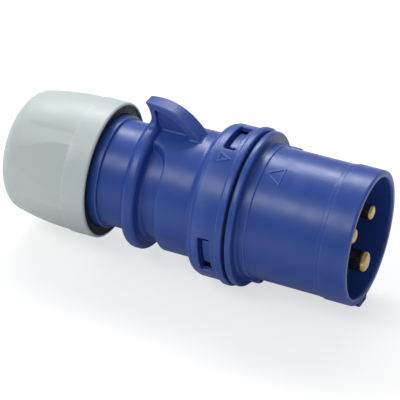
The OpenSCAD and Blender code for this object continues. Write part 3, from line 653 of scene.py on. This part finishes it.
def bump(tree, shader, layers):
    """Stacks height layers (value, depth in metres) into the shader's normal."""
    normal = None
    for height, depth in layers:
        node = tree.nodes.new("ShaderNodeBump")
        node.inputs["Distance"].default_value = depth
        tree.links.new(height, node.inputs["Height"])
        if normal:
            tree.links.new(normal, node.inputs["Normal"])
        normal = node.outputs["Normal"]
    tree.links.new(normal, shader.inputs["Normal"])


GRAIN = 0.000012


def moulded(name, dark, light, wear_and_sheen, roughness):
    """Moulded plastic: faint flow marks, fine grain, and convex edges lightened both as rubbed
    wear and as a painted edge highlight.
    """
    mat, tree, shader, place = new_material(name)
    flow = spread(tree, noise(tree, place, 55, 4.0, (0.6, 1.0, 1.0)), 0, 1)
    colour = mix_colour(tree, flow, dark, light)
    # Convex edges lighten towards the third colour in patches: partly rubbed wear, partly a
    # painted highlight along the edges.
    edge = tree.nodes.new("ShaderNodeAttribute")
    edge.attribute_name = "edge"
    rub_and_sheen = spread(tree, edge.outputs["Fac"], 0, 0.5, 0.15, 0.9)
    patchy = spread(tree, noise(tree, place, 320, 3.0), 0.3, 1)
    amount = tree.nodes.new("ShaderNodeMath")
    amount.operation = "MULTIPLY"
    tree.links.new(rub_and_sheen, amount.inputs[0])
    tree.links.new(patchy, amount.inputs[1])
    tree.links.new(mix_colour(tree, amount.outputs[0], colour, wear_and_sheen), shader.inputs["Base Color"])
    gloss = spread(tree, noise(tree, place, 240, 4.0), roughness - 0.05, roughness + 0.06)
    tree.links.new(gloss, shader.inputs["Roughness"])
    bump(tree, shader, [(noise(tree, place, 2600, 2.0), GRAIN),
                        (noise(tree, place, 260, 2.0), GRAIN * 2.5)])
    return mat


def metal(name, dark, light, roughness, turning):
    """Turned or plated metal: fine tool lines round the pin and slight tarnish."""
    mat, tree, shader, place = new_material(name)
    tarnish = spread(tree, noise(tree, place, 420, 4.0), 0, 1)
    tree.links.new(mix_colour(tree, tarnish, dark, light), shader.inputs["Base Color"])
    shader.inputs["Metallic"].default_value = 1.0
    gloss = spread(tree, noise(tree, place, 900, 3.0), roughness - 0.04, roughness + 0.08)
    tree.links.new(gloss, shader.inputs["Roughness"])
    bump(tree, shader, [(noise(tree, place, 1500, 2.0, turning), 0.000006)])
    return mat


def rubber(name, dark, light):
    """Black rubber or nylon with a dull bloom."""
    mat, tree, shader, place = new_material(name)
    bloom = spread(tree, noise(tree, place, 180, 4.0), 0, 1)
    tree.links.new(mix_colour(tree, bloom, dark, light), shader.inputs["Base Color"])
    gloss = spread(tree, noise(tree, place, 500, 3.0), 0.5, 0.72)
    tree.links.new(gloss, shader.inputs["Roughness"])
    bump(tree, shader, [(noise(tree, place, 1800, 3.0), 0.00003)])
    return mat


# The third colour of each plastic is the lighter tone of its convex edges: rubbed wear and a
# painted edge highlight together.
blue = moulded("shell_blue", srgb(40, 72, 156), srgb(46, 80, 164), srgb(100, 134, 204), 0.33)
grey = moulded("nut_grey", srgb(196, 208, 207), srgb(202, 213, 211), srgb(222, 230, 228), 0.42)
navy = moulded("carrier_navy", srgb(20, 36, 104), srgb(24, 42, 116), srgb(44, 70, 150), 0.45)
cage = moulded("cage_grey", srgb(38, 40, 44), srgb(48, 50, 54), srgb(80, 82, 86), 0.5)
brass = metal("brass", srgb(196, 160, 92), srgb(226, 200, 138), 0.2, (6.0, 0.4, 0.4))
steel = metal("steel", srgb(168, 168, 172), srgb(200, 200, 204), 0.3, (1.0, 1.0, 1.0))
black = rubber("rubber_black", srgb(20, 20, 22), srgb(34, 34, 37))
slip = rubber("slip_black", srgb(24, 24, 26), srgb(40, 40, 43))
FINISH = {
    "shell_blue": blue, "carrier_navy": navy, "nut_grey": grey, "rubber_black": black,
    "slip_black": slip, "cage_grey": cage, "brass": brass, "steel": steel,
}
for part in frame["record"]["subparts"]:
    node = frame["nodes"][part["node"]]
    node.data.materials.clear()
    node.data.materials.append(FINISH[part["material_slot"]])
for piece, mat in ((housing_skin, blue), (sleeve_skin, blue), (nut_skin, grey)):
    piece.data.materials.append(mat)


# ---------------------------------------------------------------- camera, floor and lights
AZIMUTH, ELEVATION, ROLL = math.radians(23.310), math.radians(31.543), math.radians(2.329)
TARGET, DISTANCE, SLIDE = Vector((-0.060, 0, 0)), 0.700, (-0.0017408, 0.0026345)
SENSOR, LENS = 36, 197.64
back = Vector((
    math.sin(AZIMUTH) * math.cos(ELEVATION),
    -math.cos(AZIMUTH) * math.cos(ELEVATION),
    math.sin(ELEVATION),
))
level_right = Vector((math.cos(AZIMUTH), math.sin(AZIMUTH), 0))
level_up = back.cross(level_right)
right = math.cos(ROLL) * level_right + math.sin(ROLL) * level_up
up = math.cos(ROLL) * level_up - math.sin(ROLL) * level_right
eye = TARGET + back * DISTANCE - right * SLIDE[0] - up * SLIDE[1]
camera = bpy.data.objects.new("camera", bpy.data.cameras.new("camera"))
bpy.context.scene.collection.objects.link(camera)
camera.matrix_world = Matrix.Translation(eye) @ Matrix((right, up, back)).transposed().to_4x4()
camera.data.sensor_width = SENSOR
camera.data.lens = LENS
camera.data.clip_start, camera.data.clip_end = 0.01, 50
bpy.context.scene.camera = camera

FLOOR_HALF, FLOOR_GAP = 4, 0.0002
floor_z = cad_box[0][2] - FLOOR_GAP
floor_corners = [
    (sx * FLOOR_HALF, sy * FLOOR_HALF, floor_z) for sx, sy in ((-1, -1), (1, -1), (1, 1), (-1, 1))
]
floor_mesh = bpy.data.meshes.new("floor")
floor_mesh.from_pydata(floor_corners, [], [(0, 1, 2, 3)])
floor = bpy.data.objects.new("floor", floor_mesh)
bpy.context.scene.collection.objects.link(floor)
# The camera sees the floor lifted to white, with the shadow kept. Other rays meet plain paper.
floor_mat, tree, out = blank_material("floor")
paper = tree.nodes.new("ShaderNodeBsdfDiffuse")
paper.inputs["Color"].default_value = (0.8, 0.8, 0.8, 1)
pale = tree.nodes.new("ShaderNodeBsdfDiffuse")
pale.inputs["Color"].default_value = (0.45, 0.45, 0.45, 1)
glow = tree.nodes.new("ShaderNodeEmission")
glow.inputs["Strength"].default_value = 0.66
lifted = tree.nodes.new("ShaderNodeAddShader")
tree.links.new(pale.outputs[0], lifted.inputs[0])
tree.links.new(glow.outputs[0], lifted.inputs[1])
seen = tree.nodes.new("ShaderNodeLightPath")
pick = tree.nodes.new("ShaderNodeMixShader")
tree.links.new(seen.outputs["Is Camera Ray"], pick.inputs[0])
tree.links.new(paper.outputs[0], pick.inputs[1])
tree.links.new(lifted.outputs[0], pick.inputs[2])
tree.links.new(pick.outputs[0], out.inputs["Surface"])
floor_mesh.materials.append(floor_mat)

world = bpy.data.worlds.new("studio")
bpy.context.scene.world = world
world.use_nodes = True
world.node_tree.nodes["Background"].inputs["Color"].default_value = (0.93, 0.96, 1.0, 1)
world.node_tree.nodes["Background"].inputs["Strength"].default_value = 0.32


def softbox(name, where, aim, width, height, watts):
    """White rectangular lamp, turned to its aim."""
    lamp = bpy.data.lights.new(name, "AREA")
    lamp.shape = "RECTANGLE"
    lamp.size, lamp.size_y = width, height
    lamp.energy = watts
    obj = bpy.data.objects.new(name, lamp)
    bpy.context.scene.collection.objects.link(obj)
    obj.location = where
    obj.rotation_euler = (Vector(aim) - Vector(where)).to_track_quat("-Z", "Y").to_euler()


softbox("back_strip", (-0.26, 0.38, 0.50), TARGET, 0.60, 0.16, 3.2)
softbox("front_box", (-0.28, -0.42, 0.50), TARGET, 0.50, 0.22, 1.6)
bpy.context.scene.view_settings.view_transform = "Standard"
